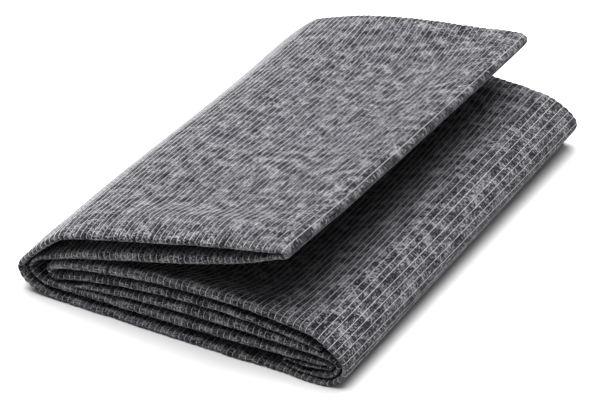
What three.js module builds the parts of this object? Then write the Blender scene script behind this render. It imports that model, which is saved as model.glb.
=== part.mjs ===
// A folded bundle of stitched fusible interfacing, in millimetres, with +Z up.
//
// The cloth is first folded double along its length, so each layer is two plies with a
// rounded fold at the front end and at the back end. The doubled strip is then folded flat
// across, and its last turn stands up as an open flap. X runs across the bundle, from the
// left folds to the right folds. Y runs along the stitches, from the front end to the back
// end. The whole bundle is one piece of cloth, so it is one solid.

import * as THREE from "three";

const BUNDLE_LENGTH = 231;
const CLOTH_COLOUR = 0x5d5d61;
const CLOTH_ROUGHNESS = 0.95;

// The parts of the bundle that a layer may belong to, as its weights as the lower stack, as
// the flap's top and as the flap's underside. They say how it sags between the bundle's ends.
const STACK = [1, 0, 0];
const FLAP_TOP = [0, 1, 0];
const FLAP_UNDER = [0, 0, 1];

// The layers, in the order in which the strip runs through the bundle. Each row gives where
// the layer's middle surface starts and ends across the bundle, its height at even steps
// between them, its doubled thickness at the start, halfway and at the end, and how far its
// front end lies behind the others'.
const LAYERS = [
  { name: "inner end", part: STACK, from: 66.5, to: -63.8,
    z: [16.0, 20.1, 9.8], thick: [1.0, 3.9, 2.6], back: 0.8 },
  { name: "top of stack", part: STACK, from: -54.0, to: 59.5,
    z: [17.8, 25.9, 23.1], thick: [4.2, 4.6, 3.8], back: 0.0 },
  { name: "bottom", part: STACK, from: 67.5, to: -63.5,
    z: [0.8, 1.3, 1.4], thick: [1.6, 2.6, 2.8], back: -1.2 },
  { name: "flap top", part: FLAP_TOP, from: -58.5, to: 46.5,
    z: [31.8, 47.0, 58.2], thick: [3.7, 5.0, 2.6], back: -0.6 },
  { name: "flap underside", part: FLAP_UNDER, from: 46.5, to: -70.6,
    z: [54.6, 40.5, 29.5, 17.7], thick: [2.6, 4.6, 2.2], back: 0.9 },
  { name: "lower middle", part: STACK, from: -68.0, to: 69.0,
    z: [5.9, 7.6, 9.3], thick: [2.8, 4.8, 1.8], back: 0.2 },
  { name: "tuck top", part: STACK, from: 69.2, to: 50.5,
    z: [6.6, 6.1, 5.8], thick: [1.8, 1.5, 1.0], back: 1.0 },
  { name: "tuck underside", part: STACK, from: 50.5, to: 68.5,
    z: [2.9, 2.8, 3.6], thick: [1.0, 1.2, 1.7], back: 0.6 },
  { name: "upper middle", part: STACK, from: 67.3, to: -53.5,
    z: [13.4, 14.4, 8.9], thick: [2.8, 5.2, 0.9], back: 0.5 },
];

// The folds between one layer and the next. Each row gives the outermost place of the fold's
// middle surface, the doubled thickness there, and how full the fold's two quarters are: 0 is
// straight, 0.55 is a full round.
const FOLDS = [
  { name: "left, inside", x: -67.3, z: 12.4, thick: 3.4, full: [0.55, 0.36] },
  { name: "right, outside", x: 77.2, z: 9.3, thick: 2.7, full: [0.42, 0.55] },
  { name: "left, outside", x: -81.7, z: 11.0, thick: 2.3, full: [0.5, 0.1] },
  { name: "flap edge", x: 50.2, z: 56.8, thick: 2.4, full: [0.55, 0.55] },
  { name: "left, second", x: -75.8, z: 11.6, thick: 2.0, full: [0.25, 0.42] },
  { name: "right, innermost", x: 70.5, z: 7.9, thick: 1.8, full: [0.55, 0.55] },
  { name: "tuck", x: 48.4, z: 4.3, thick: 1.0, full: [0.55, 0.55] },
  { name: "right, second", x: 73.9, z: 9.1, thick: 2.3, full: [0.5, 0.5] },
];

const LAYER_STEPS = 10;
const SHORT_LAYER_STEPS = 2;
const SHORT_LAYER = 30;
const QUARTER_STEPS = 4;

// The steps in a rounded end, from there to where the bead behind it ends, and in between.
const END_STEPS = 3;
const BEAD_STEPS = 4;
const MIDDLE_STEPS = 4;
const BEAD_END = 42;

// How far a rounded end reaches along the bundle, as a share of the doubled thickness, and how
// far it reaches on the flap's upper face at the front, left and right of the given places.
const END_REACH = 0.65;
const FLAP_REACHES = [12, 6];
const FLAP_REACHES_ACROSS = [18, 38];
const FLAP_REACH_STARTS = [-70, -50];

// How far the two free edges of the strip take to thin out to nothing.
const EDGE_TAPER = 4;

// A bend is never tighter than its inner face allows: the face keeps this share of its room.
const BEND_ROOM = 0.9;

// How the section changes from the front end to the back end. Each change is full grown at
// the second of its two heights and of its two places across, and nothing at the first.
const FLAP_SINK = 6.5;
const FLAP_SINK_HEIGHTS = [27, 50];
const FLAP_SINK_ACROSS = [-45, 45];
const FLAP_WIDENING = 3.2;
const FLAP_WIDENING_ACROSS = [12, 50];
const FLAP_WIDENING_FRONT = 0.45;
const FLAP_WIDENING_ALONG = [0, 60];
const RIGHT_BULGE = 4.4;
const RIGHT_BULGE_ACROSS = [10, 75];
const RIGHT_BULGE_HEIGHT = 15;
const RIGHT_BULGE_SPREAD = 9;
const SHOULDER_RISE = 0.6;
const SHOULDER_ACROSS = [20, 60];
const SHOULDER_HEIGHTS = [2, 20];

// The left fold's low hump and the low dip behind it, at their shares of the way back.
const LEFT_HUMP = 1.4;
const LEFT_HUMP_AT = 0.25;
const LEFT_HUMP_SPREAD = 0.3;
const LEFT_DIP = 1.3;
const LEFT_DIP_AT = 0.78;
const LEFT_DIP_SPREAD = 0.17;
const LEFT_ACROSS = [0, -60];
const LEFT_HEIGHTS = [0, 40];

// The rounded ends hold the layers apart. Between them the stack is pressed to this share of
// its height, from these distances off its front and back ends and within these places.
const STACK_PRESS = 0.5;
const STACK_PRESS_FRONT = { from: 5, reach: 17 };
const STACK_PRESS_BACK = { from: 7, reach: 29 };
const STACK_PRESS_LEFT = [-55, -15];
const STACK_PRESS_RIGHT = [72, 14];

// The flap sags on to itself too: its top by the first depth and its underside by the second,
// in three steps along the bundle, and its layers thin out.
const FLAP_SAGS = [7.6, 2.6];
const FLAP_SAG_STEPS = [
  { share: 0.28, from: 17, to: 36 },
  { share: 0.4, from: 66, to: 110 },
  { share: 0.32, from: 130, to: 190 },
];
const FLAP_SAG_BACK = 17;
const FLAP_SAG_LEFT = [-50, -10];
const FLAP_SAG_RIGHT = [18, 46];
const FLAP_SAG_EDGE = 0.13;
const FLAP_THINNING = 0.56;
const FLAP_THINNING_FRONT = [14, 40];
const FLAP_THINNING_BACK = [10, 40];
const BEAD_RISE = 0.8;
const BEAD_RISE_AT = 16;
const BEAD_RISE_SPREAD = 9;
const BEAD_RISE_ACROSS = [50, 20];

// How far the bundle's ends draw in beside a fold, and how far the flap reaches over the
// stack's back end.
const CORNER_FRONT = 1.0;
const CORNER_BACK = 0.3;
const CORNER_SPREAD = 5.5;
const FLAP_OVERHANG = 1.7;

// What lies within this height of the surface below rests flat on it.
const RESTING = 0.05;

const mix = (a, b, k) => a + (b - a) * k;
const bell = (x, spread) => Math.exp(-((x / spread) ** 2));

function smooth(low, high, x) {
  const k = THREE.MathUtils.clamp((x - low) / (high - low), 0, 1);
  return k * k * (3 - 2 * k);
}

// A soft rise from 0 at a distance of 0 towards 1 well past the reach.
function swell(distance, reach) {
  const k = Math.max(distance, 0) / reach;
  return 1 - Math.exp((-k * k) / (k + 0.3));
}

// The value at k, from 0 to 1, of the smooth curve through evenly spaced values.
function through(values, k) {
  const at = k * (values.length - 1);
  const term = (value, i) => values.reduce(
    (product, _, j) => (i === j ? product : (product * (at - j)) / (i - j)),
    value,
  );
  return values.reduce((sum, value, i) => sum + term(value, i), 0);
}

// The state of the strip at k, from 0 to 1, between two of its points.
function between(a, b, k) {
  return {
    thick: mix(a.thick, b.thick, k),
    back: mix(a.back, b.back, k),
    part: a.part.map((weight, i) => mix(weight, b.part[i], k)),
  };
}

// The points of one layer's middle surface in the section.
function layerPoints({ from, to, z, thick, back, part }) {
  const steps = Math.abs(to - from) < SHORT_LAYER ? SHORT_LAYER_STEPS : LAYER_STEPS;
  return Array.from({ length: steps + 1 }, (_, i) => {
    const k = i / steps;
    return { x: mix(from, to, k), z: through(z, k), thick: through(thick, k), back, part };
  });
}

// The points of a quarter of a fold, from a flat layer to the upright nose or back again.
function quarterPoints(layerEnd, nose, full, towardsNose) {
  const curve = new THREE.CubicBezierCurve(
    new THREE.Vector2(layerEnd.x, layerEnd.z),
    new THREE.Vector2(mix(layerEnd.x, nose.x, full), layerEnd.z),
    new THREE.Vector2(nose.x, mix(nose.z, layerEnd.z, full)),
    new THREE.Vector2(nose.x, nose.z),
  );
  const points = Array.from({ length: QUARTER_STEPS }, (_, i) => {
    const k = (i + 1) / QUARTER_STEPS;
    const { x, y } = curve.getPoint(k);
    return { x, z: y, ...between(layerEnd, nose, k) };
  });
  return towardsNose ? points : points.reverse().slice(1);
}

// The whole way of the strip's middle surface through the section, in one run of points. The
// noses of its folds are marked.
function stripPoints() {
  const rows = LAYERS.map(layerPoints);
  const points = [...rows[0]];
  FOLDS.forEach((fold, i) => {
    const before = rows[i].at(-1);
    const after = rows[i + 1][0];
    const nose = { ...between(before, after, 0.5), x: fold.x, z: fold.z, thick: fold.thick };
    points.push(...quarterPoints(before, nose, fold.full[0], true));
    points.at(-1).isNose = true;
    points.push(...quarterPoints(after, nose, fold.full[1], false));
    points.push(...rows[i + 1]);
  });
  return points;
}

// The direction square to the strip at each of its points, the distance run so far, and half
// the thickness on each side, which a tight bend limits on its inner side.
function addNormals(points) {
  let run = 0;
  points.forEach((point, i) => {
    const last = points[Math.max(i - 1, 0)];
    const next = points[Math.min(i + 1, points.length - 1)];
    const length = Math.hypot(next.x - last.x, next.z - last.z);
    const before = Math.hypot(point.x - last.x, point.z - last.z);
    const after = Math.hypot(next.x - point.x, next.z - point.z);
    const cross = (point.x - last.x) * (next.z - point.z) - (point.z - last.z) * (next.x - point.x);
    const bend = before * after > 0 ? (2 * cross) / (before * after * length) : 0;
    const half = point.thick / 2;
    const room = BEND_ROOM / Math.max(Math.abs(bend), 1e-6);
    run += before;
    point.nx = -(next.z - last.z) / length;
    point.nz = (next.x - last.x) / length;
    point.run = run;
    point.upper = bend > 0 ? Math.min(half, room) : half;
    point.lower = bend < 0 ? Math.min(half, room) : half;
  });
  return points;
}

// The steps along the bundle, with a rounded fold at each end that reaches as far as given.
// Each step has its place and how much of the layer's thickness is left there.
function lengthSteps(frontReach, backReach) {
  const [front, back] = [frontReach, backReach].map((reach) => [
    ...Array.from({ length: END_STEPS }, (_, i) => {
      const angle = ((i / END_STEPS) * Math.PI) / 2;
      return { y: reach * (1 - Math.cos(angle)), share: Math.sin(angle) };
    }),
    ...Array.from({ length: BEAD_STEPS }, (_, i) => (
      { y: mix(reach, BEAD_END, i / BEAD_STEPS), share: 1 }
    )),
  ]);
  const middle = Array.from({ length: MIDDLE_STEPS + 1 }, (_, i) => (
    { y: mix(BEAD_END, BUNDLE_LENGTH - BEAD_END, i / MIDDLE_STEPS), share: 1 }
  ));
  const mirrored = back.map(({ y, share }) => ({ y: BUNDLE_LENGTH - y, share })).reverse();
  return [...front, ...middle, ...mirrored];
}

// How far the flap has sagged at y, as a share of the most.
function flapDip(y) {
  const grown = FLAP_SAG_STEPS.reduce((sum, { share, from, to }) => sum + share * smooth(from, to, y), 0);
  return grown * (1 - Math.exp(-(BUNDLE_LENGTH - y) / FLAP_SAG_BACK));
}

// Moves a point of the front section to where it lies further back. The flap sinks and widens,
// the right folds bulge, their shoulder rises, and the left fold has a low hump and a dip.
// Between the rounded ends the layers sag on to each other.
function settle(point, x, y, z) {
  const back = y / BUNDLE_LENGTH;
  const rear = BUNDLE_LENGTH - y;
  const [stack, top, under] = point.part;
  const sink = smooth(...FLAP_SINK_HEIGHTS, z) * smooth(...FLAP_SINK_ACROSS, x);
  const bulge = smooth(...RIGHT_BULGE_ACROSS, x) * bell(z - RIGHT_BULGE_HEIGHT, RIGHT_BULGE_SPREAD);
  const rise = smooth(...SHOULDER_ACROSS, x) * smooth(...SHOULDER_HEIGHTS, z) * (1 - sink);
  const hump = LEFT_HUMP * bell(back - LEFT_HUMP_AT, LEFT_HUMP_SPREAD)
    - LEFT_DIP * bell(back - LEFT_DIP_AT, LEFT_DIP_SPREAD);
  const left = hump * smooth(...LEFT_HEIGHTS, z) * smooth(...LEFT_ACROSS, x);
  const lift = left + back * (SHOULDER_RISE * rise - FLAP_SINK * sink);

  const press = STACK_PRESS * smooth(...STACK_PRESS_RIGHT, x) * smooth(...STACK_PRESS_LEFT, x)
    * swell(y - STACK_PRESS_FRONT.from, STACK_PRESS_FRONT.reach)
    * swell(rear - STACK_PRESS_BACK.from, STACK_PRESS_BACK.reach);
  const across = smooth(...FLAP_SAG_LEFT, x) * mix(1, FLAP_SAG_EDGE, smooth(...FLAP_SAG_RIGHT, x));
  const thinning = FLAP_THINNING * smooth(...FLAP_THINNING_FRONT, y)
    * smooth(...FLAP_THINNING_BACK, rear) * across;
  const offset = z - point.z;
  const bead = BEAD_RISE * bell(y - BEAD_RISE_AT, BEAD_RISE_SPREAD) * smooth(...BEAD_RISE_ACROSS, x)
    * THREE.MathUtils.clamp(offset, 0, 1);
  const sag = (top * FLAP_SAGS[0] + under * FLAP_SAGS[1]) * flapDip(y) * across;
  const height = z - z * press * stack - (top + under) * thinning * offset - sag + top * bead;

  const widening = (top + under) * smooth(...FLAP_WIDENING_ACROSS, x)
    * mix(back, smooth(...FLAP_WIDENING_ALONG, y), FLAP_WIDENING_FRONT);
  return {
    x: x + RIGHT_BULGE * back * bulge + FLAP_WIDENING * widening,
    z: z < RESTING ? 0 : height + lift,
  };
}

// How far the rounded front end of a layer reaches along the bundle, on its upper face.
function frontReach(point) {
  const long = mix(...FLAP_REACHES, smooth(...FLAP_REACHES_ACROSS, point.x));
  const onFlap = point.part[1] * smooth(...FLAP_REACH_STARTS, point.x);
  return Math.max(END_REACH * point.thick, onFlap * long);
}

// The strip as one closed solid: an upper and a lower face that meet along both ends of the
// bundle and along both free edges of the strip.
function stripGeometry() {
  const points = addNormals(stripPoints());
  const noses = points.filter((point) => point.isNose);
  const total = points.at(-1).run;
  const lastPoint = points.length - 1;
  const lastStep = lengthSteps(0, 0).length - 1;
  const position = [];
  const index = [];
  const faces = [1, -1].map((side) => points.map((point, i) => {
    const edge = Math.min(point.run, total - point.run) / EDGE_TAPER;
    const edgeShare = Math.sqrt(1 - (1 - Math.min(edge, 1)) ** 2);
    const corner = noses.reduce((sum, nose) => sum + bell(point.run - nose.run, CORNER_SPREAD), 0);
    const front = point.back + CORNER_FRONT * corner;
    const rear = point.back + CORNER_BACK * corner - FLAP_OVERHANG * point.part[1];
    const reach = END_REACH * point.thick;
    return lengthSteps(side > 0 ? frontReach(point) : reach, reach).map(({ y, share }, j) => {
      const onBorder = i === 0 || i === lastPoint || j === 0 || j === lastStep;
      if (side < 0 && onBorder) {
        return null;
      }
      const half = side * share * edgeShare * (side > 0 ? point.upper : point.lower);
      const along = y + mix(front, -rear, y / BUNDLE_LENGTH);
      const spot = settle(point, point.x + point.nx * half, y, point.z + point.nz * half);
      position.push(spot.x, along, spot.z);
      return position.length / 3 - 1;
    });
  }));
  const [upper, lower] = faces;
  lower.forEach((row, i) => row.forEach((corner, j) => {
    if (corner === null) {
      row[j] = upper[i][j];
    }
  }));
  for (let i = 0; i < lastPoint; i += 1) {
    for (let j = 0; j < lastStep; j += 1) {
      const turned = (2 * i < lastPoint) !== (2 * j < lastStep);
      for (const face of faces) {
        const around = [face[i][j], face[i + 1][j], face[i + 1][j + 1], face[i][j + 1]];
        if (face === lower) {
          around.reverse();
        }
        const [a, b, c, d] = turned ? [...around.slice(1), around[0]] : around;
        index.push(a, b, c, a, c, d);
      }
    }
  }
  const geometry = new THREE.BufferGeometry();
  geometry.setAttribute("position", new THREE.Float32BufferAttribute(position, 3));
  geometry.setIndex(index);
  geometry.computeVertexNormals();
  return geometry;
}

function interfacing() {
  const material = new THREE.MeshStandardMaterial({
    color: CLOTH_COLOUR, roughness: CLOTH_ROUGHNESS, metalness: 0,
  });
  const geometry = stripGeometry();
  geometry.computeBoundingBox();
  const middle = geometry.boundingBox.getCenter(new THREE.Vector3());
  geometry.translate(-middle.x, -middle.y, 0);
  const mesh = new THREE.Mesh(geometry, material);
  mesh.name = "interfacing";
  return mesh;
}

const group = new THREE.Group();
group.add(interfacing());

export default group;
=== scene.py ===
import logging
from dataclasses import dataclass, field
from enum import Enum

import bpy
import numpy as np
from mathutils import Matrix, Vector


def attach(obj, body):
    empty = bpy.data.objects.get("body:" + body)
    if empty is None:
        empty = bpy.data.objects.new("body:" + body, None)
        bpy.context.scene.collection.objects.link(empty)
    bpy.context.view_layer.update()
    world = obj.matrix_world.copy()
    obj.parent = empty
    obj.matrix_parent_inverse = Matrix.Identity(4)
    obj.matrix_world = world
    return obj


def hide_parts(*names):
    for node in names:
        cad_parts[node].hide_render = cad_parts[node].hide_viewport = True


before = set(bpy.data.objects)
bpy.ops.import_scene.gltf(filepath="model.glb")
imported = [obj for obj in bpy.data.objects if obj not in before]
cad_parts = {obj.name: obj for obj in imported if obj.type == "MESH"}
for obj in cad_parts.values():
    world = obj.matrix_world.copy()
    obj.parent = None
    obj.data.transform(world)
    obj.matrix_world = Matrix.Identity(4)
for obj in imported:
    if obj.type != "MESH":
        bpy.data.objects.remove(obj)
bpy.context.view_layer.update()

LOG = logging.getLogger("interfacing")

MM = 0.001
BUNDLE_LENGTH = 231.0
BEAD_END = 42.0

# How gently a swell starts, as a share of its reach.
SWELL_EASE = 0.3

# The start and end of a stretch of heights, or of places across or along the bundle.
Span = tuple[float, float]

# A place, and the spread or reach over which something changes around or behind it.
Place = tuple[float, float]


class Part(Enum):
    """Which part of the bundle a layer belongs to, which says how it sags."""

    STACK = "stack"
    FLAP_TOP = "flap top"
    FLAP_UNDER = "flap underside"


@dataclass(frozen=True)
class Layer:
    """One layer of the doubled strip, in the section at the front end, in millimetres.

    Args:
        part: The part of the bundle that it belongs to.
        start: Where its middle surface starts across the bundle.
        end: Where it ends across the bundle.
        height: Its height at even steps from its start to its end.
        thick: Its doubled thickness at the start, halfway and at the end.
        back: How far its front end lies behind the others'.
    """

    part: Part
    start: float
    end: float
    height: tuple[float, ...]
    thick: tuple[float, float, float]
    back: float


@dataclass(frozen=True)
class Fold:
    """The fold between one layer and the next, in millimetres.

    Args:
        nose: The outermost place of its middle surface, across and up.
        thick: The doubled thickness there.
        full: How full its two quarters are, from 0, straight, to 0.55, a full round.
    """

    nose: tuple[float, float]
    thick: float
    full: tuple[float, float]


LAYERS = (
    Layer(Part.STACK, 66.5, -63.8, (16.0, 20.1, 9.8), (1.0, 3.9, 2.6), 0.8),
    Layer(Part.STACK, -54.0, 59.5, (17.8, 25.9, 23.1), (4.2, 4.6, 3.8), 0.0),
    Layer(Part.STACK, 67.5, -63.5, (0.8, 1.3, 1.4), (1.6, 2.6, 2.8), -1.2),
    Layer(Part.FLAP_TOP, -58.5, 46.5, (31.8, 47.0, 58.2), (3.7, 5.0, 2.6), -0.6),
    Layer(Part.FLAP_UNDER, 46.5, -70.6, (54.6, 41.1, 30.0, 17.3), (2.6, 5.8, 2.0), 0.7),
    Layer(Part.STACK, -68.0, 69.0, (5.9, 7.6, 9.3), (2.8, 4.8, 1.8), 0.2),
    Layer(Part.STACK, 69.2, 50.5, (6.6, 6.1, 5.8), (1.8, 1.5, 1.0), 1.0),
    Layer(Part.STACK, 50.5, 68.5, (2.9, 2.8, 3.6), (1.0, 1.2, 1.7), 0.6),
    Layer(Part.STACK, 67.3, -53.5, (13.4, 14.4, 8.9), (2.8, 5.2, 0.9), 0.5),
)

FOLDS = (
    Fold((-67.3, 12.4), 3.4, (0.55, 0.36)),
    Fold((77.2, 9.3), 2.7, (0.42, 0.55)),
    Fold((-81.7, 11.0), 2.3, (0.50, 0.10)),
    Fold((50.2, 56.8), 2.4, (0.55, 0.55)),
    Fold((-77.3, 11.4), 1.6, (0.25, 0.42)),
    Fold((70.5, 7.9), 1.8, (0.55, 0.55)),
    Fold((48.4, 4.3), 1.0, (0.55, 0.55)),
    Fold((73.9, 9.1), 2.3, (0.50, 0.50)),
)


def smooth(low: float, high: float, x: np.ndarray) -> np.ndarray:
    """An S-shaped step from 0 at low to 1 at high, which may be the smaller of the two."""
    k = np.clip((x - low) / (high - low), 0.0, 1.0)
    return k * k * (3.0 - 2.0 * k)


def bell(x: np.ndarray, spread: float) -> np.ndarray:
    """A bell curve that is 1 at 0."""
    return np.exp(-((x / spread) ** 2))


def swell(distance: np.ndarray, reach: float) -> np.ndarray:
    """A soft rise from 0 at a distance of 0 towards 1 well past the reach."""
    q = np.maximum(distance, 0.0) / reach
    return 1.0 - np.exp(-q * q / (q + SWELL_EASE))


def through(values: tuple[float, ...], k: np.ndarray) -> np.ndarray:
    """The smooth curve through evenly spaced values, at k from 0 to 1."""
    places = np.linspace(0.0, 1.0, len(values))
    return np.polyval(np.polyfit(places, values, len(values) - 1), k)


def wavering(rng: np.random.Generator, count: int, span: float) -> np.ndarray:
    """Smooth random values between about -1 and 1.

    Args:
        rng: The seeded source.
        count: How many values.
        span: How many values one swing takes.

    Returns:
        The values, in order along the strip.
    """
    knots = max(int(count / span) + 3, 4)
    values = rng.uniform(-1.0, 1.0, knots)
    at = np.linspace(0.0, knots - 1.001, count)
    low = at.astype(int)
    k = smooth(0.0, 1.0, at - low)
    return values[low] * (1 - k) + values[low + 1] * k


@dataclass(frozen=True)
class Settling:
    """How the section at the front end changes further back, in millimetres.

    The folds at both ends of the bundle are plump and hold the layers apart, and between
    them the layers sink on to each other. A change is nothing at the first of the two
    heights or places of its span and full grown at the second.

    Args:
        flap_sink: How far the flap's edge has sunk at the back end.
        sink_heights: The heights over which it grows.
        sink_across: The places across over which it grows.
        flap_reach: How far the flap's edge moves out to the right.
        reach_across: The places across over which that grows.
        reach_along: The places along the bundle over which its early share grows.
        reach_early: The share of it that grows there. The rest grows evenly to the back.
        right_bulge: How far the right folds stand out at the back end.
        bulge_across: The places across over which that grows.
        bulge_height: The height where it is greatest.
        bulge_spread: How far it fades above and below.
        shoulder_rise: How far the stack's right shoulder rises at the back end.
        shoulder_across: The places across over which that grows.
        shoulder_heights: The heights over which it grows.
        left_hump: How high the left fold's low hump is.
        hump_at: Its place and spread, as shares of the bundle's length.
        left_dip: How deep the dip behind the hump is.
        dip_at: Its place and spread, as shares of the bundle's length.
        left_across: The places across over which hump and dip grow.
        low_heights: The heights over which they and the back end's rise grow.
        rear_rise: How far the top rises at the back end.
        rear_along: Where that grows, as shares of the bundle's length.
        rear_across: The places across over which it grows.
        stack_press: The share of its height by which the stack is pressed in the middle.
        press_front: How far behind the front end that starts, and over what reach.
        press_back: The same before the back end.
        press_right: The places across over which it grows from the right.
        press_left: The places across over which it grows from the left.
        top_sag: How far the flap's top sags on to its underside.
        under_sag: How far the flap's underside sags.
        sag_steps: Each step of the sag, as its share and the places along the bundle.
        sag_back: The reach before the back end over which the sag ends.
        sag_left: The places across over which it grows.
        sag_right: The places across over which it fades.
        sag_fading: The share that it loses there.
        flap_thinning: The share of their thickness that the flap's layers lose.
        thinning_front: The places along the bundle over which that grows.
        thinning_back: The same, measured from the back end.
        bead_rise: How high the rolled bead behind the flap's front end is.
        bead_at: Its place along the bundle, and its spread.
        bead_across: The places across over which it grows.
        under_rise: How far the underside's left part rises behind its ends.
        under_ends: How far from both ends that starts, and over what reach.
        under_left: The places across over which it grows from the left.
        under_right: The places across over which it grows from the right.
        resting: What is lower than this lies flat on the surface below.
    """

    flap_sink: float = 6.5
    sink_heights: Span = (27.0, 50.0)
    sink_across: Span = (-45.0, 45.0)
    flap_reach: float = 3.2
    reach_across: Span = (12.0, 50.0)
    reach_along: Span = (0.0, 60.0)
    reach_early: float = 0.45
    right_bulge: float = 5.4
    bulge_across: Span = (10.0, 75.0)
    bulge_height: float = 15.0
    bulge_spread: float = 9.0
    shoulder_rise: float = 0.6
    shoulder_across: Span = (20.0, 60.0)
    shoulder_heights: Span = (2.0, 20.0)
    left_hump: float = 2.4
    hump_at: Place = (0.25, 0.3)
    left_dip: float = 0.6
    dip_at: Place = (0.78, 0.17)
    left_across: Span = (0.0, -60.0)
    low_heights: Span = (0.0, 24.0)
    rear_rise: float = 0.9
    rear_along: Span = (0.8, 1.0)
    rear_across: Span = (50.0, 0.0)
    stack_press: float = 0.5
    press_front: Place = (5.0, 17.0)
    press_back: Place = (7.0, 29.0)
    press_right: Span = (72.0, 14.0)
    press_left: Span = (-55.0, -15.0)
    top_sag: float = 7.6
    under_sag: float = 2.6
    sag_steps: tuple[tuple[float, float, float], ...] = (
        (0.28, 17.0, 36.0), (0.40, 66.0, 110.0), (0.32, 130.0, 190.0),
    )
    sag_back: float = 17.0
    sag_left: Span = (-50.0, -10.0)
    sag_right: Span = (18.0, 46.0)
    sag_fading: float = 0.87
    flap_thinning: float = 0.56
    thinning_front: Span = (14.0, 40.0)
    thinning_back: Span = (10.0, 40.0)
    bead_rise: float = 0.8
    bead_at: Place = (16.0, 9.0)
    bead_across: Span = (50.0, 20.0)
    under_rise: float = 2.0
    under_ends: Place = (2.0, 9.0)
    under_left: Span = (-76.0, -58.0)
    under_right: Span = (5.0, -35.0)
    resting: float = 0.05

    def sagged(self, y: np.ndarray) -> np.ndarray:
        """How far the flap has sagged at y, as a share of the most."""
        grown = sum(share * smooth(start, end, y) for share, start, end in self.sag_steps)
        return grown * (1.0 - np.exp(-(BUNDLE_LENGTH - y) / self.sag_back))

    def lifted(self, x: np.ndarray, y: np.ndarray, z: np.ndarray) -> np.ndarray:
        """How far the bundle's outline has risen or sunk towards its back end.

        Args:
            x: Across the bundle.
            y: Along the bundle.
            z: The height.

        Returns:
            The rise of each point.
        """
        back = y / BUNDLE_LENGTH
        low = smooth(*self.low_heights, z)
        sink = smooth(*self.sink_heights, z) * smooth(*self.sink_across, x)
        rise = smooth(*self.shoulder_across, x) * smooth(*self.shoulder_heights, z) * (1.0 - sink)
        hump_place, hump_spread = self.hump_at
        dip_place, dip_spread = self.dip_at
        left = self.left_hump * bell(back - hump_place, hump_spread)
        left = left - self.left_dip * bell(back - dip_place, dip_spread)
        left = left * low * smooth(*self.left_across, x)
        rear = self.rear_rise * smooth(*self.rear_along, back) * smooth(*self.rear_across, x) * low
        return left + rear + back * (self.shoulder_rise * rise - self.flap_sink * sink)

    def pressed(self, x: np.ndarray, y: np.ndarray) -> np.ndarray:
        """The share of its height by which the stack is pressed.

        Args:
            x: Across the bundle.
            y: Along the bundle.

        Returns:
            The share at each point.
        """
        front, front_reach = self.press_front
        back, back_reach = self.press_back
        along = swell(y - front, front_reach) * swell(BUNDLE_LENGTH - y - back, back_reach)
        return self.stack_press * smooth(*self.press_right, x) * smooth(*self.press_left, x) * along

    def apply(self, x: np.ndarray, y: np.ndarray, z: np.ndarray, middle: np.ndarray,
              part: np.ndarray) -> tuple[np.ndarray, np.ndarray]:
        """Moves points of the front section to where they lie further back.

        Args:
            x: Across the bundle.
            y: Along the bundle.
            z: The height.
            middle: The height of the layer's middle surface there.
            part: The weights of the stack, the flap's top and its underside, one row each.

        Returns:
            The new x and z.
        """
        back = y / BUNDLE_LENGTH
        rear = BUNDLE_LENGTH - y
        stack, top, under = part
        flap = top + under
        offset = z - middle
        sagging = smooth(*self.sag_left, x) * (1.0 - self.sag_fading * smooth(*self.sag_right, x))
        thinning = self.flap_thinning * sagging * (
            smooth(*self.thinning_front, y) * smooth(*self.thinning_back, rear))
        bead_place, bead_spread = self.bead_at
        bead = self.bead_rise * bell(y - bead_place, bead_spread) * smooth(*self.bead_across, x)
        sag = (top * self.top_sag + under * self.under_sag) * self.sagged(y) * sagging
        height = z - z * self.pressed(x, y) * stack - flap * thinning * offset - sag
        height = height + top * bead * np.clip(offset, 0.0, 1.0)

        start, reach = self.under_ends
        off_ends = swell(y - start, reach) * swell(rear - start, reach)
        raised = under * smooth(*self.under_left, x) * smooth(*self.under_right, x) * off_ends
        height = height + self.lifted(x, y, z) + self.under_rise * raised

        bulge = smooth(*self.bulge_across, x) * bell(z - self.bulge_height, self.bulge_spread)
        early = self.reach_early * smooth(*self.reach_along, y)
        widening = smooth(*self.reach_across, x) * flap * (early + (1.0 - self.reach_early) * back)
        across = x + self.right_bulge * back * bulge + self.flap_reach * widening
        return across, np.where(z < self.resting, 0.0, height)


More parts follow.
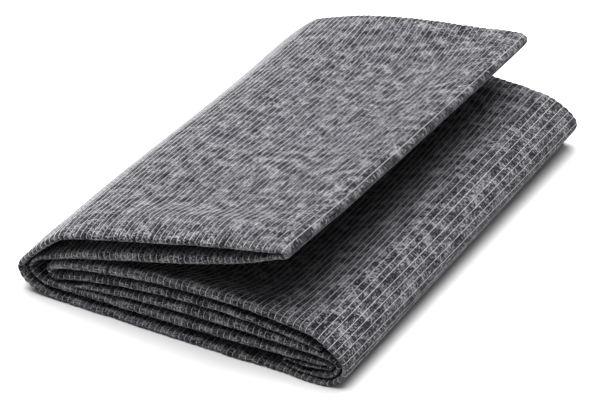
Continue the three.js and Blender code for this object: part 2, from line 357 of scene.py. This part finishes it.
@dataclass
class Strip:
    """The doubled strip's middle surface, as one run through the section.

    Args:
        layer_steps: Points in each layer.
        quarter_steps: Points in each quarter of a fold.
        turn_reach: How far ahead and behind its direction is taken, in millimetres.
        bend_room: The share of a bend's inner radius that its inner face may take.

    Attributes:
        x: Where its points are across the bundle, in millimetres.
        z: Their heights.
        thick: The doubled thickness there.
        back: How far the front end lies behind the others' there.
        part: The weights of the stack, the flap's top and its underside, one row each.
        run: How far along the strip they are.
        folds_at: How far along the strip the outermost places of its folds are.
    """

    layer_steps: int = 60
    quarter_steps: int = 24
    turn_reach: float = 0.8
    bend_room: float = 0.9
    x: np.ndarray = field(init=False)
    z: np.ndarray = field(init=False)
    thick: np.ndarray = field(init=False)
    back: np.ndarray = field(init=False)
    part: np.ndarray = field(init=False)
    run: np.ndarray = field(init=False)
    folds_at: list[float] = field(init=False)

    def __post_init__(self) -> None:
        """Joins the layers and folds into one run of points."""
        rows = [self.layer_rows(layer) for layer in LAYERS]
        points = [rows[0]]
        starts = []
        for fold, before, after in zip(FOLDS, rows, rows[1:]):
            nose = np.array([*fold.nose, fold.thick, *((before[-1, 3:] + after[0, 3:]) / 2)])
            points.append(self.quarter_rows(before[-1], nose, fold.full[0]))
            starts.append(sum(len(p) for p in points) - 1)
            points.append(self.quarter_rows(after[0], nose, fold.full[1])[::-1][1:])
            points.append(after)
        table = np.vstack(points)
        self.x, self.z, self.thick, self.back = table[:, :4].T
        self.part = table[:, 4:].T
        steps = np.hypot(np.diff(self.x), np.diff(self.z))
        self.run = np.concatenate([[0.0], np.cumsum(steps)])
        self.folds_at = [float(self.run[i]) for i in starts]

    def layer_rows(self, layer: Layer) -> np.ndarray:
        """The points of one layer.

        Args:
            layer: The layer.

        Returns:
            A row for each point: across, up, thickness, back and the three parts' weights.
        """
        k = np.linspace(0.0, 1.0, self.layer_steps + 1)
        x = layer.start + (layer.end - layer.start) * k
        weights = [np.full_like(k, float(layer.part is part)) for part in Part]
        return np.column_stack([x, through(layer.height, k), through(layer.thick, k),
                                np.full_like(k, layer.back), *weights])

    def quarter_rows(self, end: np.ndarray, nose: np.ndarray, full: float) -> np.ndarray:
        """The points of a quarter of a fold, from a layer's end to the upright nose.

        Args:
            end: The row of the layer's end.
            nose: The row of the nose.
            full: How full the quarter is.

        Returns:
            A row for each point after the layer's end.
        """
        k = (np.arange(self.quarter_steps) + 1.0)[:, None] / self.quarter_steps
        corners = [
            end[:2],
            np.array([end[0] + (nose[0] - end[0]) * full, end[1]]),
            np.array([nose[0], nose[1] + (end[1] - nose[1]) * full]),
            nose[:2],
        ]
        weights = [(1 - k) ** 3, 3 * k * (1 - k) ** 2, 3 * k * k * (1 - k), k ** 3]
        place = sum(w * c for w, c in zip(weights, corners))
        return np.hstack([place, end[2:] + (nose[2:] - end[2:]) * k])

    def at(self, run: np.ndarray) -> dict[str, np.ndarray]:
        """What the strip is like at some distances along it.

        Args:
            run: The distances, in millimetres.

        Returns:
            Its place, its normal, its half thickness on each side and its parts' weights.
        """
        def read(values: np.ndarray, where: np.ndarray = run) -> np.ndarray:
            """The values at some distances along the strip."""
            return np.interp(where, self.run, values)

        ahead, behind = run + self.turn_reach, run - self.turn_reach
        along_x = read(self.x, ahead) - read(self.x, behind)
        along_z = read(self.z, ahead) - read(self.z, behind)
        length = np.hypot(along_x, along_z)
        turn = np.unwrap(np.arctan2(along_z, along_x))
        bend = np.gradient(turn, run)
        half = read(self.thick) / 2
        room = self.bend_room / np.maximum(np.abs(bend), 1e-6)
        return {
            "x": read(self.x), "z": read(self.z),
            "nx": -along_z / length, "nz": along_x / length,
            "outer": np.where(bend > 0, np.minimum(half, room), half),
            "inner": np.where(bend < 0, np.minimum(half, room), half),
            "back": read(self.back),
            "part": np.array([read(row) for row in self.part]),
        }


def mesh_object(name: str, points: np.ndarray, faces: list[list[int]],
                smooth_faces: bool = True) -> bpy.types.Object:
    """A mesh object at the origin.

    Args:
        name: The object's name.
        points: Its corners, in metres.
        faces: Its faces, as lists of corner numbers.
        smooth_faces: Whether they are shaded as one smooth surface.

    Returns:
        The object, linked to the scene.
    """
    mesh = bpy.data.meshes.new(name)
    mesh.from_pydata(points.tolist(), [], faces)
    mesh.polygons.foreach_set("use_smooth", [smooth_faces] * len(mesh.polygons))
    mesh.update()
    made = bpy.data.objects.new(name, mesh)
    bpy.context.scene.collection.objects.link(made)
    return made


def linear(code: str) -> tuple[float, float, float, float]:
    """The linear colour of a hex sRGB code."""
    values = [int(code[i:i + 2], 16) / 255 for i in (1, 3, 5)]
    return (*[v / 12.92 if v <= 0.04045 else ((v + 0.055) / 1.055) ** 2.4 for v in values], 1.0)


def add_node(tree: bpy.types.NodeTree, kind: str, settings: dict | None = None,
             inputs: dict | None = None) -> bpy.types.Node:
    """A new node with its settings and inputs.

    Args:
        tree: The node tree.
        kind: The node's type.
        settings: Its properties by name.
        inputs: Its inputs by name or number, each a value or another node's output.

    Returns:
        The node.
    """
    node = tree.nodes.new(kind)
    for name, value in (settings or {}).items():
        setattr(node, name, value)
    for name, value in (inputs or {}).items():
        if isinstance(value, bpy.types.NodeSocket):
            tree.links.new(value, node.inputs[name])
        else:
            node.inputs[name].default_value = value
    return node


def new_material(name: str) -> tuple[bpy.types.Material, bpy.types.NodeTree]:
    """An empty node material.

    Args:
        name: Its name.

    Returns:
        The material and its tree.
    """
    material = bpy.data.materials.new(name)
    material.use_nodes = True
    material.node_tree.nodes.clear()
    return material, material.node_tree


def ramp(tree: bpy.types.NodeTree, factor: bpy.types.NodeSocket,
         stops: tuple[tuple[float, str], ...]) -> bpy.types.NodeSocket:
    """Adds a colour ramp.

    Args:
        tree: The node tree.
        factor: The value that it colours.
        stops: The place and hex colour of each stop.

    Returns:
        Its colour output.
    """
    node = add_node(tree, "ShaderNodeValToRGB", inputs={"Fac": factor})
    elements = node.color_ramp.elements
    while len(elements) < len(stops):
        elements.new(0.5)
    for element, (place, code) in zip(elements, stops):
        element.position = place
        element.color = linear(code)
    return node.outputs["Color"]


@dataclass(frozen=True)
class Grain:
    """One scale of the felt's mottle.

    Args:
        across: The size of its grains across the stitch lines, in millimetres.
        along: Their size along the lines.
        detail: How many finer octaves it has.
        seed: Its place in the noise.
    """

    across: float
    along: float
    detail: float
    seed: float

    def noise(self, tree: bpy.types.NodeTree, flat: bpy.types.NodeSocket) -> bpy.types.NodeSocket:
        """Adds the noise.

        Args:
            tree: The material's tree.
            flat: The flat cloth's coordinates, in metres.

        Returns:
            The noise, about 0.5 in the middle.
        """
        scaled = add_node(tree, "ShaderNodeVectorMath", {"operation": "MULTIPLY"},
                          {0: flat, 1: (1 / (self.across * MM), 1 / (self.along * MM), 1.0)})
        return add_node(tree, "ShaderNodeTexNoise", {"noise_dimensions": "4D"}, {
            "Vector": scaled.outputs[0], "W": self.seed, "Scale": 1.0,
            "Detail": self.detail, "Roughness": 0.6,
        }).outputs["Fac"]


@dataclass(frozen=True)
class StitchedFelt:
    """Needled non-woven fleece in a mix of black, grey and off-white fibres.

    Args:
        fibres: Its colours from where black fibres gather to where off-white ones do, each
            with its place among the mix.
        tufts: The tufts that the needles leave, about a millimetre across.
        clouds: The thicker and thinner places of the fleece, a little wider across the
            lines than along them.
        fuzz: Single fibres. Real ones are too fine to show, so they are drawn half a
            millimetre across.
        cloud_share: How strong the clouds are beside the tufts.
        fuzz_share: How strong the fuzz is beside the tufts.
        relief: The height of the tufts, in metres.
        relief_share: How much of it shows.
        roughness: How matt the fibres are.
        sheen: How much the loose fibres on its face catch the light.
    """

    fibres: tuple[tuple[float, str], ...] = (
        (0.38, "#161619"), (0.45, "#2d2d32"), (0.50, "#444349"), (0.55, "#5f5e63"),
        (0.64, "#8f8d8f"),
    )
    tufts: Grain = Grain(1.2, 0.9, 2.0, 1.0)
    clouds: Grain = Grain(7.0, 5.0, 2.0, 2.0)
    fuzz: Grain = Grain(0.5, 0.5, 1.0, 3.0)
    cloud_share: float = 0.65
    fuzz_share: float = 0.5
    relief: float = 0.0003
    relief_share: float = 0.4
    roughness: float = 0.95
    sheen: float = 0.1

    def make(self) -> bpy.types.Material:
        """The material. Loose fibres scatter light, so it has no gloss and a soft sheen.

        Returns:
            The material.
        """
        material, tree = new_material("needled_polyester_felt")
        flat = add_node(tree, "ShaderNodeUVMap", {"uv_map": "cloth"}).outputs["UV"]

        def blend(first: bpy.types.NodeSocket, second: bpy.types.NodeSocket,
                  share: float) -> bpy.types.NodeSocket:
            """The first value with a share of the second, both about 0.5 in the middle."""
            part = add_node(tree, "ShaderNodeMath", {"operation": "MULTIPLY_ADD"},
                            {0: second, 1: share, 2: first})
            return add_node(tree, "ShaderNodeMath", {"operation": "SUBTRACT"},
                            {0: part.outputs[0], 1: share / 2}).outputs[0]

        grains = (self.tufts, self.clouds, self.fuzz)
        tufts, clouds, fuzz = (grain.noise(tree, flat) for grain in grains)
        mottle = blend(blend(tufts, clouds, self.cloud_share), fuzz, self.fuzz_share)
        colour = ramp(tree, mottle, self.fibres)
        bump = add_node(tree, "ShaderNodeBump", inputs={
            "Strength": self.relief_share, "Distance": self.relief, "Height": mottle,
        })
        shader = add_node(tree, "ShaderNodeBsdfPrincipled", inputs={
            "Base Color": colour, "Roughness": self.roughness, "Specular IOR Level": 0.1,
            "Sheen Weight": self.sheen, "Sheen Roughness": 0.6, "Normal": bump.outputs["Normal"],
        })
        add_node(tree, "ShaderNodeOutputMaterial", inputs={"Surface": shader.outputs[0]})
        return material


@dataclass(frozen=True)
class StitchThread:
    """Fine pale thread, knitted through the fleece in chain stitches, with painted shade where it
    dips into the fleece.

    Args:
        dip_shade: Painted shade: the thread's colour darkened where it dips into the fleece.
        pale: Its colour on top of a loop.
        stitch: The length of one stitch, in metres.
        unevenness: How far the stitches' lengths vary, in stitches.
        dip: Where in a stitch it turns from the painted shade of its dips to its own pale colour.
    """

    dip_shade: str = "#9a9a9e"
    pale: str = "#c6c6ca"
    stitch: float = 0.0028
    unevenness: float = 1.2
    dip: tuple[float, float] = (0.06, 0.22)

    def make(self) -> bpy.types.Material:
        """The material. The straight thread keeps its pale colour on top of each loop and is
        painted with shade at the loop's ends, where it sinks into the fleece.

        Returns:
            The material.
        """
        material, tree = new_material("knitted_polyester_thread")
        along = add_node(tree, "ShaderNodeAttribute", {"attribute_name": "along"}).outputs["Fac"]
        turns = add_node(tree, "ShaderNodeMath", {"operation": "MULTIPLY"},
                         {0: along, 1: 1 / self.stitch})
        uneven = add_node(tree, "ShaderNodeTexNoise", {"noise_dimensions": "1D"}, {
            "W": turns.outputs[0], "Scale": 0.7, "Detail": 2.0,
        })
        phase = add_node(tree, "ShaderNodeMath", {"operation": "MULTIPLY_ADD"},
                         {0: uneven.outputs["Fac"], 1: self.unevenness, 2: turns.outputs[0]})
        loop = add_node(tree, "ShaderNodeMath", {"operation": "PINGPONG"},
                        {0: phase.outputs[0], 1: 0.5})
        # Painted shade: the thread is drawn darker where each loop dips into the fleece and keeps
        # its own pale colour on top.
        colour = ramp(tree, loop.outputs[0], tuple(zip(self.dip, (self.dip_shade, self.pale))))
        shader = add_node(tree, "ShaderNodeBsdfPrincipled", inputs={
            "Base Color": colour, "Roughness": 0.7, "Specular IOR Level": 0.3,
            "Sheen Weight": 0.15,
        })
        add_node(tree, "ShaderNodeOutputMaterial", inputs={"Surface": shader.outputs[0]})
        return material


@dataclass
class FoldedCloth:
    """The cloth: folded double end to end, then folded across into the bundle.

    Args:
        line_gap: The distance between stitch lines, in millimetres.
        columns: Columns of the outer face to each stitch line.
        ply: The cloth's thickness.
        ply_share: The most of the doubled thickness that one ply takes.
        puff: How far a stitch line pulls the flat cloth in.
        nose_puff: How far it pulls the cloth in at the rounded ends.
        puff_share: The most of the cloth's thickness that it pulls in.
        puff_shape: How narrow the pull is. Less is narrower.
        line_waver: How far a line may lie off its even place.
        end_reach: How far a rounded end reaches along the bundle, as a share of the
            doubled thickness.
        flap_reaches: How far the rounded front end of the flap's top reaches, at the least,
            and how much further at the left.
        flap_reach_across: The places across over which it reaches further.
        flap_reach_start: The places across over which it starts, from the left.
        inner_reach: The share of it that the layer's inner side has.
        outer_steps: The steps of a layer's outer side in a rounded end, in the stretch
            behind it and between the two stretches.
        inner_steps: Those of its inner side.
        corner_front: How far the front end draws in beside a fold.
        corner_rear: How far the back end does.
        corner_spread: How far along the strip that fades.
        rear_reach: How far the flap's top reaches over the stack's back end.
        waver_sizes: How far the ends waver quickly, and how far slowly.
        waver_spans: How many stitch lines a quick and a slow swing take.
        seed: The seed of its unevenness.
        settling: How its section changes along the bundle.
        strip: The run of the doubled cloth through the section.
    """

    line_gap: float = 2.95
    columns: int = 4
    ply: float = 0.8
    ply_share: float = 0.42
    puff: float = 0.2
    nose_puff: float = 0.6
    puff_share: float = 0.45
    puff_shape: float = 0.6
    line_waver: float = 0.22
    end_reach: float = 0.65
    flap_reaches: tuple[float, float] = (6.0, 6.0)
    flap_reach_across: Span = (38.0, 18.0)
    flap_reach_start: Span = (-70.0, -50.0)
    inner_reach: float = 0.3
    outer_steps: tuple[int, int, int] = (5, 5, 9)
    inner_steps: tuple[int, int, int] = (4, 3, 4)
    corner_front: float = 1.0
    corner_rear: float = 0.3
    corner_spread: float = 5.5
    rear_reach: float = 1.7
    waver_sizes: tuple[float, float] = (0.3, 0.4)
    waver_spans: tuple[float, float] = (1.2, 6.0)
    seed: int = 5
    settling: Settling = field(default_factory=Settling)
    strip: Strip = field(default_factory=Strip)

    def stations(self, front: np.ndarray, rear: np.ndarray,
                 counts: tuple[int, int, int]) -> tuple[np.ndarray, np.ndarray]:
        """The places along one side of a layer, from the front nose to the back nose.

        Args:
            front: How far the rounded front nose takes to reach the full thickness, one
                value for each column.
            rear: The same for the rear nose.
            counts: Steps in a nose, in a bead and between the beads.

        Returns:
            The places and the shares of the thickness, a row for each column.
        """
        nose_steps, bead_steps, middle_steps = counts
        angle = np.linspace(0.0, np.pi / 2, nose_steps + 1)
        k = np.linspace(0.0, 1.0, bead_steps + 1)[1:]
        ends = [np.hstack([reach[:, None] * (1 - np.cos(angle)),
                           reach[:, None] + (BEAD_END - reach[:, None]) * k])
                for reach in (front, rear)]
        middle = np.linspace(BEAD_END, BUNDLE_LENGTH - BEAD_END, middle_steps + 1)[1:-1]
        middle = np.broadcast_to(middle, (len(front), len(middle)))
        y = np.hstack([ends[0], middle, BUNDLE_LENGTH - ends[1][:, ::-1]])
        ones = np.ones(len(k))
        share = np.concatenate([np.sin(angle), ones, np.ones(middle.shape[1]), ones,
                                np.sin(angle)[::-1]])
        return y, np.broadcast_to(share, y.shape)

    def loops(self, run: np.ndarray) -> dict[str, np.ndarray]:
        """The cross loops of the doubled strip, in each column's own plane.

        A loop starts at the slit in the middle of the inner side, goes over the front
        end, back along the outer side, over the back end and forward to the slit.

        Args:
            run: Where the columns are along the strip, in millimetres.

        Returns:
            The places along the bundle and off the strip's middle surface, of the outer
            and of the inner face, and the strip's own data.
        """
        strip = self.strip.at(run)
        whole = strip["outer"] + strip["inner"]
        flap_top = strip["part"][1] * smooth(*self.flap_reach_start, strip["x"])
        least, more = self.flap_reaches
        long_reach = flap_top * (least + more * smooth(*self.flap_reach_across, strip["x"]))
        reach = whole * self.end_reach
        front_out = np.maximum(reach, long_reach)
        front_in = np.maximum(reach, self.inner_reach * long_reach)
        y_out, share_out = self.stations(front_out, reach, self.outer_steps)
        y_in, share_in = self.stations(front_in, reach, self.inner_steps)
        middle = y_in.shape[1] // 2
        y = np.hstack([y_in[:, middle::-1], y_out[:, 1:-1], y_in[:, :middle - 1:-1]])
        off = np.hstack([
            -share_in[:, middle::-1] * strip["inner"][:, None],
            share_out[:, 1:-1] * strip["outer"][:, None],
            -share_in[:, :middle - 1:-1] * strip["inner"][:, None],
        ])
        step_y, step_off = np.gradient(y, axis=1), np.gradient(off, axis=1)
        length = np.hypot(step_y, step_off)
        normal_y, normal_off = -step_off / length, step_y / length
        ply = np.minimum(self.ply, self.ply_share * whole)[:, None]
        steepness = np.abs(normal_y)
        return {
            "y": y, "off": off, "ply": ply, "normal_y": normal_y, "normal_off": normal_off,
            "steepness": steepness, "strip": strip,
        }

    def place(self, run: np.ndarray, y: np.ndarray, off: np.ndarray, strip: dict) -> np.ndarray:
        """Turns places in the columns' planes into points of the bundle.

        Args:
            run: Where the columns are along the strip.
            y: The places along the bundle, a row for each column.
            off: How far they lie off the strip's middle surface.
            strip: The strip's own data.

        Returns:
            The points, in millimetres.
        """
        x = strip["x"][:, None] + strip["nx"][:, None] * off
        z = strip["z"][:, None] + strip["nz"][:, None] * off
        middle = np.broadcast_to(strip["z"][:, None], z.shape)
        new_x, new_z = self.settling.apply(x, y, z, middle, strip["part"][:, :, None])
        corner = sum(bell(run - fold, self.corner_spread) for fold in self.strip.folds_at)
        rng = np.random.default_rng(self.seed)
        lines = self.line_runs()
        quick, slow = self.waver_spans
        wavers = [np.interp(run, lines, wavering(rng, len(lines), span))
                  for span in (quick, quick, slow, slow)]
        short, long = self.waver_sizes
        front = strip["back"] + self.corner_front * corner + short * wavers[0] + long * wavers[2]
        rear = strip["back"] + self.corner_rear * corner + short * wavers[1] + long * wavers[3]
        rear = rear - self.rear_reach * strip["part"][1]
        share = y / BUNDLE_LENGTH
        new_y = y + front[:, None] * (1 - share) - rear[:, None] * share
        return np.stack([new_x, new_y, new_z], axis=-1)

    def line_runs(self) -> np.ndarray:
        """Where the stitch lines are along the strip, a little unevenly spaced.

        Returns:
            Their distances along it, in millimetres.
        """
        total = self.strip.run[-1]
        count = round(total / self.line_gap)
        even = np.linspace(0.0, total, count + 1)
        rng = np.random.default_rng(self.seed + 1)
        uneven = self.line_waver * rng.uniform(-1.0, 1.0, count + 1)
        uneven[[0, -1]] = 0.0
        return even + uneven

    def build(self) -> bpy.types.Object:
        """The cloth as one closed mesh with two faces.

        Returns:
            The object.
        """
        lines = self.line_runs()
        fine = np.linspace(0.0, len(lines) - 1.0, self.columns * (len(lines) - 1) + 1)
        run = np.interp(fine, np.arange(len(lines)), lines)
        loop = self.loops(run)
        pull = 1.0 - np.abs(np.sin(np.pi * fine)) ** self.puff_shape
        depth = self.puff + (self.nose_puff - self.puff) * loop["steepness"]
        depth = np.minimum(depth, self.puff_share * loop["ply"]) * pull[:, None]
        outer = self.place(run, loop["y"] - loop["normal_y"] * depth,
                           loop["off"] - loop["normal_off"] * depth, loop["strip"])
        inner = self.place(run, loop["y"] - loop["normal_y"] * loop["ply"],
                           loop["off"] - loop["normal_off"] * loop["ply"], loop["strip"])
        inner = inner[::self.columns]
        points = np.vstack([outer.reshape(-1, 3), inner.reshape(-1, 3)])
        low, high = outer.reshape(-1, 3).min(0), outer.reshape(-1, 3).max(0)
        centre = (low + high) / 2
        points = (points - [centre[0], centre[1], 0.0]) * MM
        faces = self.faces(outer.shape[:2], inner.shape[:2])
        cloth = mesh_object("folded_cloth", points, faces)
        self.add_uv(cloth, run, outer, inner)
        self.flag_stitches(cloth, outer.shape[:2])
        return cloth

    def faces(self, outer: tuple[int, int], inner: tuple[int, int]) -> list[list[int]]:
        """The faces between the outer and inner grids, all turned outwards.

        Args:
            outer: The columns and places of the outer grid.
            inner: Those of the inner grid.

        Returns:
            The faces, as lists of corner numbers.
        """
        columns, places = outer
        first = columns * places
        number = np.arange(columns * places).reshape(outer)
        inside = first + np.arange(inner[0] * inner[1]).reshape(inner)
        quads = [np.stack([number[1:, :-1], number[1:, 1:], number[:-1, 1:], number[:-1, :-1]], -1),
                 np.stack([inside[:-1, :-1], inside[:-1, 1:], inside[1:, 1:], inside[1:, :-1]], -1)]
        faces = [face for grid in quads for face in grid.reshape(-1, 4).tolist()]
        for j in range(inner[0] - 1):
            span = slice(j * self.columns, (j + 1) * self.columns + 1)
            front, back = number[span, 0].tolist(), number[span, -1].tolist()
            faces.append([*front[::-1], int(inside[j, 0]), int(inside[j + 1, 0])])
            faces.append([*back, int(inside[j + 1, -1]), int(inside[j, -1])])
        for k in range(places - 1):
            faces.append([int(number[0, k + 1]), int(inside[0, k + 1]), int(inside[0, k]),
                          int(number[0, k])])
            faces.append([int(number[-1, k]), int(inside[-1, k]), int(inside[-1, k + 1]),
                          int(number[-1, k + 1])])
        return faces

    def add_uv(self, cloth: bpy.types.Object, run: np.ndarray, outer: np.ndarray,
               inner: np.ndarray) -> None:
        """Lays the cloth flat as its UV map, in metres: along the strip, then round the loop.

        Args:
            cloth: The cloth.
            run: Where its columns are along the strip.
            outer: The points of its outer face.
            inner: The points of its inner face.
        """
        def flat(grid: np.ndarray, at: np.ndarray) -> np.ndarray:
            """The flat places of a grid, with one loop's lengths for every column."""
            steps = np.linalg.norm(np.diff(grid[len(grid) // 2], axis=0), axis=1)
            v = np.concatenate([[0.0], np.cumsum(steps)])
            return np.stack(np.meshgrid(at, v, indexing="ij"), -1).reshape(-1, 2)

        table = np.vstack([flat(outer, run), flat(inner, run[::self.columns])]) * MM
        mesh = cloth.data
        corners = np.zeros(len(mesh.loops), dtype=np.int32)
        mesh.loops.foreach_get("vertex_index", corners)
        mesh.uv_layers.new(name="cloth").data.foreach_set("uv", table[corners].ravel())

    def flag_stitches(self, cloth: bpy.types.Object, outer: tuple[int, int]) -> None:
        """Marks the edges that the stitch lines follow.

        Args:
            cloth: The cloth.
            outer: The columns and places of its outer face.
        """
        mesh = cloth.data
        ends = np.zeros(len(mesh.edges) * 2, dtype=np.int32)
        mesh.edges.foreach_get("vertices", ends)
        first, second = ends.reshape(-1, 2).T
        columns, places = outer
        on_face = np.maximum(first, second) < columns * places
        column = first // places
        inside = (column > 0) & (column < columns - 1)
        flags = on_face & inside & (column == second // places) & (column % self.columns == 0)
        mesh.attributes.new("stitched", "BOOLEAN", "EDGE").data.foreach_set("value", flags)


@dataclass(frozen=True)
class StitchLines:
    """The threads along the stitch lines, laid over the cloth by Geometry Nodes.

    Args:
        radius: The thread's radius, in metres.
        lift: How far the thread lies off the cloth, in metres.
        sides: The thread's sides.
    """

    radius: float = 0.00015
    lift: float = 0.00008
    sides: int = 3

    def tree(self) -> bpy.types.NodeTree:
        """The node tree, with its named inputs.

        Returns:
            The tree.
        """
        tree = bpy.data.node_groups.new("stitch_lines", "GeometryNodeTree")
        face = tree.interface
        face.new_socket(name="Cloth", in_out="INPUT", socket_type="NodeSocketGeometry")
        for name, kind in (("Radius", "NodeSocketFloat"), ("Lift", "NodeSocketFloat"),
                           ("Sides", "NodeSocketInt"), ("Thread", "NodeSocketMaterial")):
            face.new_socket(name=name, in_out="INPUT", socket_type=kind)
        face.new_socket(name="Threads", in_out="OUTPUT", socket_type="NodeSocketGeometry")
        given = add_node(tree, "NodeGroupInput").outputs
        normal = add_node(tree, "GeometryNodeInputNormal").outputs["Normal"]
        lifted = add_node(tree, "ShaderNodeVectorMath", {"operation": "SCALE"},
                          {0: normal, "Scale": given["Lift"]})
        moved = add_node(tree, "GeometryNodeSetPosition",
                         inputs={"Geometry": given["Cloth"], "Offset": lifted.outputs[0]})
        flag = add_node(tree, "GeometryNodeInputNamedAttribute", {"data_type": "BOOLEAN"},
                        {"Name": "stitched"})
        lines = add_node(tree, "GeometryNodeMeshToCurve", inputs={
            "Mesh": moved.outputs[0], "Selection": flag.outputs["Attribute"],
        })
        length = add_node(tree, "GeometryNodeSplineParameter").outputs["Length"]
        named = add_node(tree, "GeometryNodeStoreNamedAttribute",
                         {"data_type": "FLOAT", "domain": "POINT"},
                         {"Geometry": lines.outputs[0], "Name": "along", "Value": length})
        circle = add_node(tree, "GeometryNodeCurvePrimitiveCircle",
                          inputs={"Resolution": given["Sides"], "Radius": given["Radius"]})
        tube = add_node(tree, "GeometryNodeCurveToMesh", inputs={
            "Curve": named.outputs[0], "Profile Curve": circle.outputs[0], "Fill Caps": True,
        })
        real = add_node(tree, "GeometryNodeRealizeInstances", inputs={0: tube.outputs[0]})
        done = add_node(tree, "GeometryNodeSetMaterial",
                        inputs={"Geometry": real.outputs[0], "Material": given["Thread"]})
        add_node(tree, "NodeGroupOutput", inputs={0: done.outputs[0]})
        return tree

    def build(self, cloth: bpy.types.Object, finish: StitchThread) -> bpy.types.Object:
        """The threads as one mesh.

        Args:
            cloth: The folded cloth, with its stitched edges marked.
            finish: The thread's finish.

        Returns:
            The object.
        """
        threads = bpy.data.objects.new("stitch_threads", cloth.data.copy())
        bpy.context.scene.collection.objects.link(threads)
        modifier = threads.modifiers.new("stitch_lines", "NODES")
        modifier.node_group = self.tree()
        material = finish.make()
        values = {"Radius": self.radius, "Lift": self.lift, "Sides": self.sides, "Thread": material}
        for item in modifier.node_group.interface.items_tree:
            if item.in_out == "INPUT" and item.name in values:
                modifier[item.identifier] = values[item.name]
        graph = bpy.context.evaluated_depsgraph_get()
        baked = bpy.data.meshes.new_from_object(
            threads.evaluated_get(graph), preserve_all_data_layers=True, depsgraph=graph)
        threads.modifiers.clear()
        threads.data = baked
        return threads


@dataclass(frozen=True)
class Studio:
    """The floor, the lights and the camera.

    Args:
        floor_size: The side of the floor, in metres.
        floor_colour: Its colour.
        camera_at: The camera's place, in metres.
        forward: The direction in which it looks.
        lens: Its focal length in millimetres, on a sensor 36 mm wide.
        softbox_at: The softbox's place, in metres.
        softbox_side: Its side, in metres.
        softbox_power: Its power, in watts.
        room_light: How bright the white room around the bundle is.
    """

    floor_size: float = 2.6
    floor_colour: str = "#e6e6e6"
    camera_at: tuple[float, float, float] = (0.4276, -0.7926, 0.5549)
    forward: tuple[float, float, float] = (-0.4094, 0.7479, -0.5225)
    lens: float = 138.0
    softbox_at: tuple[float, float, float] = (-0.16, 0.12, 1.3)
    softbox_side: float = 1.6
    softbox_power: float = 40.0
    room_light: float = 0.21

    def add_camera(self) -> None:
        """The camera, level and at the photo's viewing angle."""
        data = bpy.data.cameras.new("camera")
        data.lens, data.sensor_width = self.lens, 36.0
        data.clip_start, data.clip_end = 0.05, 50.0
        camera = bpy.data.objects.new("camera", data)
        bpy.context.scene.collection.objects.link(camera)
        forward = Vector(self.forward).normalized()
        right = forward.cross(Vector((0, 0, 1))).normalized()
        up = right.cross(forward)
        turned = Matrix((right, up, -forward)).transposed().to_4x4()
        camera.matrix_world = Matrix.Translation(self.camera_at) @ turned
        bpy.context.scene.camera = camera

    def add_floor(self) -> None:
        """A pale plain floor."""
        half = self.floor_size / 2
        corners = np.array([(-half, -half, 0), (half, -half, 0), (half, half, 0), (-half, half, 0)])
        floor = mesh_object("floor", corners, [[0, 1, 2, 3]], smooth_faces=False)
        material, tree = new_material("matt_painted_studio_floor")
        shader = add_node(tree, "ShaderNodeBsdfPrincipled", inputs={
            "Base Color": linear(self.floor_colour), "Roughness": 0.9, "Specular IOR Level": 0.1,
        })
        add_node(tree, "ShaderNodeOutputMaterial", inputs={"Surface": shader.outputs[0]})
        floor.data.materials.append(material)

    def add_softbox(self) -> None:
        """A soft square light overhead that faces the bundle."""
        data = bpy.data.lights.new("overhead softbox", "AREA")
        data.size, data.energy = self.softbox_side, self.softbox_power
        light = bpy.data.objects.new("overhead softbox", data)
        light.location = self.softbox_at
        light.rotation_euler = (-Vector(self.softbox_at)).to_track_quat("-Z", "Y").to_euler()
        bpy.context.scene.collection.objects.link(light)

    def add_room(self) -> None:
        """A dim white room, which the camera sees as plain white."""
        world = bpy.data.worlds.new("studio")
        bpy.context.scene.world = world
        world.use_nodes = True
        world.node_tree.nodes.clear()
        seen = add_node(world.node_tree, "ShaderNodeLightPath").outputs["Is Camera Ray"]
        dim = add_node(world.node_tree, "ShaderNodeBackground",
                       inputs={"Color": linear("#ffffff"), "Strength": self.room_light})
        white = add_node(world.node_tree, "ShaderNodeBackground",
                         inputs={"Color": linear("#ffffff"), "Strength": 1.0})
        room = add_node(world.node_tree, "ShaderNodeMixShader",
                        inputs={0: seen, 1: dim.outputs[0], 2: white.outputs[0]})
        add_node(world.node_tree, "ShaderNodeOutputWorld", inputs={"Surface": room.outputs[0]})

    def build(self) -> None:
        """The whole studio."""
        view = bpy.context.scene.view_settings
        view.view_transform = "Standard"
        view.look = "Medium High Contrast"
        self.add_room()
        self.add_softbox()
        self.add_floor()
        self.add_camera()


def main() -> None:
    """Builds the studio, the cloth and its stitching, attaches both pieces to the root body and
    hides the CAD part.
    """
    logging.basicConfig(level=logging.INFO, format="%(message)s")
    Studio().build()
    LOG.info("studio built")
    cloth = FoldedCloth().build()
    cloth.data.materials.append(StitchedFelt().make())
    LOG.info("folded cloth built, %d faces", len(cloth.data.polygons))
    threads = StitchLines().build(cloth, StitchThread())
    LOG.info("stitch threads built, %d faces", len(threads.data.polygons))
    cloth.data.attributes.remove(cloth.data.attributes["stitched"])
    for piece in (cloth, threads):
        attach(piece, "root")
    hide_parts("interfacing")


if __name__ == "__main__":
    main()
